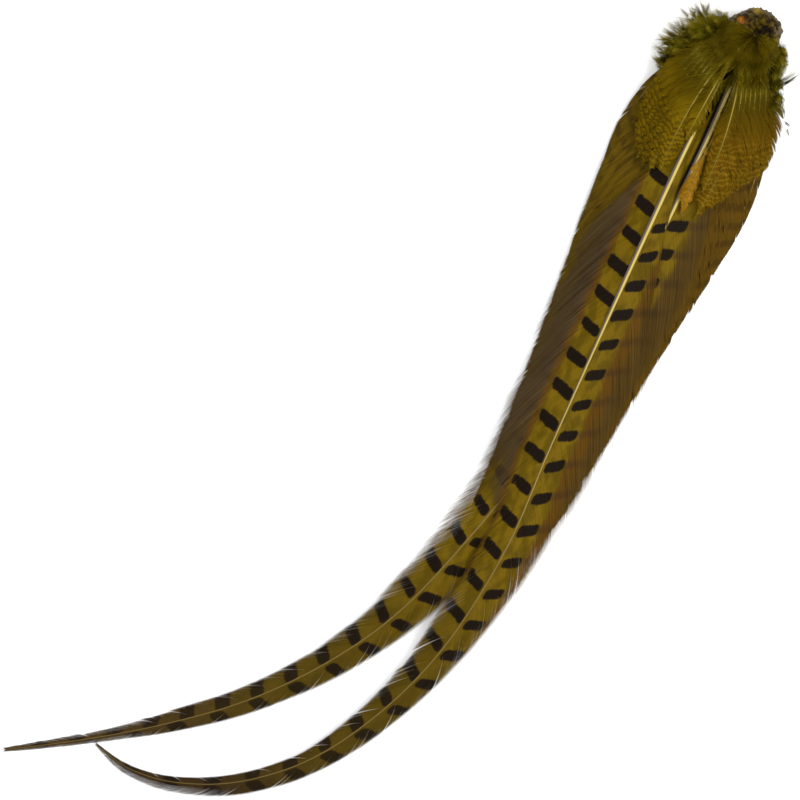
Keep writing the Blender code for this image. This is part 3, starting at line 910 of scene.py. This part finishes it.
def tuft(row, count, strewn, seed, turn, wobble, size, least, **look):
    """Wisps along a row of points. turn and size are curves along the row, (places, values): the way a wisp
    points, give or take a wobble in degrees, and its length in mm, from least of it to 1.1 of it."""
    bases, along = scatter(row, count, strewn, seed)
    headings = np.interp(along, *turn) + rng.normal(0, wobble, count)
    lengths = np.interp(along, *size) * rng.uniform(least, 1.1, count) * MM
    return wisps(bases, headings, lengths, seed + 1, **look)


left_down = tuft(
    [(3, -11, 9), (9, -14, 10), (17, -16, 9), (27, -18, 7), (37, -18, 5)], 190, (1.5, 2.4, 1.5), 21,
    ([0, 0.5, 1], [-104, -84, -60]), 15, ([0, 0.15, 0.4, 0.7, 1], [3, 9, 12, 10, 6]), 0.4)
left_down += tuft(
    [(7, -20, 10), (12, -23, 10), (21, -24, 9), (30, -23, 7), (38, -21, 5)], 44, (1.5, 1.5, 1), 23,
    ([0, 0.5, 1], [-106, -84, -58]), 20, ([0, 0.3, 1], [9, 11, 6]), 0.6,
    hairs=12, spread=0.5 * MM, close=0.9)
piece("down_left_plumes", left_down, [DOWN], "down", "down_left")

right_down = tuft(
    [(-6, 13, 7), (-3, 16, 8), (3, 20, 8), (8, 24, 7), (13, 32, 5)], 90, (1, 1, 1.5), 31,
    ([0, 1], [105, 60]), 14, ([0, 0.25, 0.5, 1], [4, 6.5, 3.5, 3.5]), 0.5)
loose_wisps = [(4.5, 24.5, 7), (5, 26, 7), (3.5, 26, 6.5), (9, 29, 6), (12, 34, 5), (15, 39, 4), (17, 42, 3)]
headings, lengths = np.array([168, 174, 163, 96, 84, 78, 66]), np.array([14, 13, 10, 5, 5, 5, 5])
right_down += wisps(
    np.array(loose_wisps) * MM, headings, lengths * MM, 33, hairs=14, spread=0.6 * MM, close=0.9)
piece("down_right_plumes", right_down, [DOWN], "down", "down_right")

# %% [markdown]
# ## Down under the quills
#
# Between the quills the gaps are deep. The down at the bottom of them is painted nearly black, as painted
# shade.

# %% Down under the quills
bases, _ = scatter([(17, 0, 3), (30, 6, 3), (46, 13, 3)], 130, (2.5, 5, 1), 51)
headings = 20 + np.random.default_rng(52).normal(0, 25, len(bases))
under = wisps(bases, headings, np.full(len(bases), 8 * MM), 53, hairs=24, spread=1.6 * MM, rise=0.2)
piece("down_under_quills", under, [DOWN_IN_SHADE], "down")
print("down under the quills:", len(bases), "wisps")

# %% [markdown]
# ## The hair over the roots
#
# Short bristly feathers grow from the front of the skin and lie fanwise over the quills.

# %% Rump hair
skin_low, skin_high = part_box("rump_stub")
skin_half = (skin_high - skin_low) / 2


def rump_hairs(count=6500, steps=6, seed=41):
    """Hairs in a fan from the skin's front. One starts on the skin, or just past it, and runs outwards over
    the pile, never lower than what is below it."""
    rng = np.random.default_rng(seed)
    angle = np.radians(rng.uniform(-74, 118, count))
    start = rng.uniform(1, 24, count) * MM
    hub = np.array([-1.0, 0.5]) * MM
    way = angle + rng.normal(0, 0.12, count)
    wide = np.interp(np.degrees(angle), [-74, -45, 0, 60, 90, 118], [0.65, 0.9, 1, 0.9, 0.62, 0.38])
    length = rng.uniform(4, 10, count) * wide * MM
    t = np.linspace(0, 1, steps)[None]
    far = (start * wide)[:, None] + length[:, None] * t
    bend = rng.normal(0, 0.25, (count, 1)) * t**2
    x = hub[0] + (start * wide * np.cos(angle))[:, None] + length[:, None] * t * np.cos(way[:, None] + bend)
    y = hub[1] + (start * wide * np.sin(angle))[:, None] + length[:, None] * t * np.sin(way[:, None] + bend)
    low = top_at(x, y)
    up = np.minimum(low[:, :1], skin_high.z) + rng.uniform(0, 1.2, (count, 1)) * MM * np.sin(math.pi * t * 0.7)
    slope = np.maximum.accumulate(low[:, ::-1], axis=1)[:, ::-1]
    clear = 0.3 + rng.uniform(0, 0.7, (count, 1)) + 1.4 * smooth((16 * MM - far) / (5 * MM))
    z = np.maximum(low, mix(up, slope, t)) + clear * MM
    width = 0.2 * MM * rng.uniform(0.5, 1.3, (count, 1)) * (1 - 0.85 * t**2)
    locks = rng.random(24)[(np.degrees(angle) / 8).astype(int) % 24]
    group = 0.4 * locks + 0.6 * np.clip(start / (12 * MM), 0, 1)
    return strands(np.stack([x, y, z], axis=-1), width, rng.random(count), group)


piece("rump_hair", [rump_hairs()], [RUMP], "down")

# %% [markdown]
# ## The nub of skin
#
# Dried skin and flesh: dark, puckered, with fat showing yellow and orange where it was cut.

# %% Skin


def skin(columns=220, rows=120):
    """A squared dome. Its radius and height are powers of the cosine and sine of an angle from the foot to the
    top, and folds of soft noise move the surface in and out."""
    around = np.linspace(0, 2 * math.pi, columns, endpoint=False)[:, None]
    up = np.linspace(0, math.pi / 2, rows)[None]
    ring, level = np.cos(up) ** 0.42, np.sin(up) ** 0.62
    ring = np.where(up == up[0, -1], 0, ring)
    x, y = np.cos(around) * ring, np.sin(around) * ring
    fold = soft_noise(8 + 3.1 * x, 8 + 3.1 * y + 2 * level, 1) * 0.09
    fold = fold + np.abs(soft_noise(20 + 6 * x + 2 * level, 20 + 6 * y, 2)) * 0.11
    fold = fold + np.abs(soft_noise(40 + 13 * x, 40 + 13 * y + 6 * level, 3)) * 0.06
    fold = fold + soft_noise(9 + 40 * x, 9 + 40 * y + 20 * level, 4) * 0.008
    swell = 1 + (fold - 0.05) * smooth(level / 0.2)
    points = np.stack([
        x * skin_half.x * swell, y * skin_half.y * swell,
        skin_high.z * (level * (1 + (fold - 0.08) * 0.9 * level)) + 0 * x,
    ], axis=-1)
    return points, fold


def skin_part():
    """The skin's points, faces and flat layout, closed round where its last column meets its first."""
    points, fold = skin()
    columns, rows = points.shape[:2]
    faces = grid_faces(columns, rows)
    wrap = np.stack([np.arange(rows - 1) + (columns - 1) * rows, np.arange(rows - 1),
                     np.arange(1, rows), np.arange(1, rows) + (columns - 1) * rows], axis=-1)
    faces = np.concatenate([faces, wrap])
    u = np.arange(columns + 1)[:, None] / columns
    v = np.linspace(0.02, 0.98, rows)[None]
    grid_uv = np.stack(np.broadcast_arrays(u, v), axis=-1)
    i, j = np.meshgrid(np.arange(columns), np.arange(rows - 1), indexing="ij")
    uv = np.stack([grid_uv[i, j], grid_uv[i + 1, j], grid_uv[i + 1, j + 1], grid_uv[i, j + 1]], axis=-2)
    uv = uv.reshape(-1, 4, 2)
    place = np.stack([fold, fold, fold], axis=-1).reshape(-1, 3)
    return {"points": points.reshape(-1, 3), "faces": faces, "place": place, "barb": 0 * place, "uv": uv,
            "finish": 0}


def skin_finish():
    """Brown skin with painted shade in its folds, and two spots of fat, orange and yellow."""
    f = Finish("dried_skin", roughness=0.5, specular=0.12)
    fold, _, _ = f.parts("vane_place")
    at = f.node("ShaderNodeTexCoord", output="Object")
    x, y, z = (f.node("ShaderNodeSeparateXYZ", None, {0: at}, k) * 1000 for k in range(3))
    blotch = f.noise(x * 0.35, y * 0.35, 4.0)
    fine = f.noise(x * 2.5, y * 2.5 + z * 1.5, 3.0)
    ground = f.colour(dye(44, 30, 8), dye(92, 74, 4), blotch.ramp(0.35, 0.65))
    # painted shade: darker where the surface sinks into a fold
    ground = f.colour(ground, dye(18, 10, 4), fold.ramp(0.05, -0.02) * 0.85)
    for mx, my, size, colour in ((-1.3, -8.7, 2.3, dye(190, 112, 26)), (-9.6, -7.1, 2.4, dye(150, 124, 14))):
        spot = (((x - mx) ** 2 + (y - my) ** 2) ** 0.5 + (fine - 0.5) * 3).ramp(size, size * 0.4)
        ground = f.colour(ground, colour, spot * 0.85)
    return f.paint(f.colour(ground, dye(14, 8, 3), fine.ramp(0.4, 0.65) * 0.6), fine * 0.3 + 0.35, fine, 0.0006)


piece("rump_skin", [skin_part()], [skin_finish()], "dried_skin", "rump_stub")

# %% [markdown]
# ## Floor, light and camera
#
# The tail lies on a white table under broad soft light, with the camera straight above it.

# %% Floor, light and camera
centre = (cad_low + cad_high) / 2
FLOOR_HALF, FLOOR_HEIGHT = 3.0, -0.0002


def floor():
    """A matt white square, a fifth of a millimetre below the tail."""
    mesh = bpy.data.meshes.new("floor")
    corners = ((-1, -1), (1, -1), (1, 1), (-1, 1))
    mesh.from_pydata([(centre.x + a * FLOOR_HALF, centre.y + b * FLOOR_HALF, FLOOR_HEIGHT) for a, b in corners],
                     [], [(0, 1, 2, 3)])
    white = Finish("floor_white", roughness=0.9, specular=0.0)
    white.shader.inputs["Base Color"].default_value = (0.92, 0.92, 0.92, 1)
    mesh.materials.append(white.material)
    obj = bpy.data.objects.new("floor", mesh)
    bpy.context.scene.collection.objects.link(obj)


def softbox(name, place, size, power):
    """A broad lamp that faces the middle of the tail."""
    light = bpy.data.lights.new(name, "AREA")
    light.shape, light.size, light.energy = "DISK", size, power
    obj = bpy.data.objects.new(name, light)
    obj.location = centre + Vector(place)
    obj.rotation_euler = (-Vector(place)).to_track_quat("-Z", "Y").to_euler()
    bpy.context.scene.collection.objects.link(obj)


floor()
softbox("key", (-0.9, 0.5, 1.1), 0.9, 18)
softbox("fill", (0.8, -0.6, 1.3), 1.4, 5)
world = bpy.data.worlds.new("studio")
world.use_nodes = True
sky = world.node_tree.nodes["Background"].inputs
sky["Color"].default_value, sky["Strength"].default_value = (1, 1, 1, 1), 1.15
bpy.context.scene.world = world
bpy.context.scene.view_settings.view_transform = "Standard"

camera = bpy.data.objects.new("camera", bpy.data.cameras.new("camera"))
camera.data.lens, camera.data.sensor_width = 300, 36
camera.location = (233.7 * MM, 8.5 * MM, 3.1)
camera.rotation_euler = (0, 0, math.radians(136.15))
bpy.context.scene.collection.objects.link(camera)
bpy.context.scene.camera = camera
